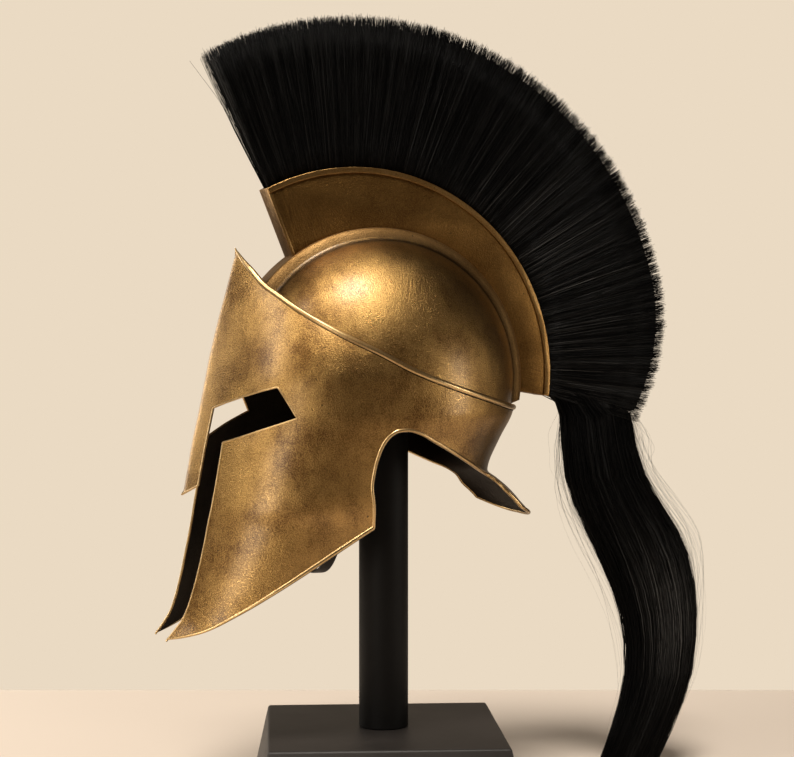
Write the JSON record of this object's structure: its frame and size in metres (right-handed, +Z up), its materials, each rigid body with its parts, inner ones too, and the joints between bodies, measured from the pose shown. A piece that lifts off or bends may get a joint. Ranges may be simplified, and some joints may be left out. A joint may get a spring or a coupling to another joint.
{
  "type": "corinthian bronze helmet with horsehair crest on a stand",
  "caption": "Keeled bronze helmet with almond eye holes, nasal, long cheek pieces, flared neck guard, standing horsehair crest and tail, resting on a plain black post and plinth",
  "frame": {"origin": "middle of the underside of the stand's base, on the post's axis", "axes": "+Z up; the helmet faces -Y; +X is the wearer's left"},
  "size_m": [0.297, 0.5366, 0.7172],
  "materials": {
    "bronze": "aged satin bronze with dark patina and worn bright edges",
    "horsehair": "black horsehair",
    "strap_leather": "black leather",
    "stand_black": "satin black paint"
  },
  "bodies": {
    "root": {"skull_dome": "bronze", "face_mask": "bronze", "crest_box": "bronze", "crest_brush": "horsehair", "crest_tail": "horsehair", "chin_strap": "strap_leather", "stand_cap": "stand_black", "stand_post": "stand_black", "stand_base": "stand_black"}
  },
  "joints": []
}
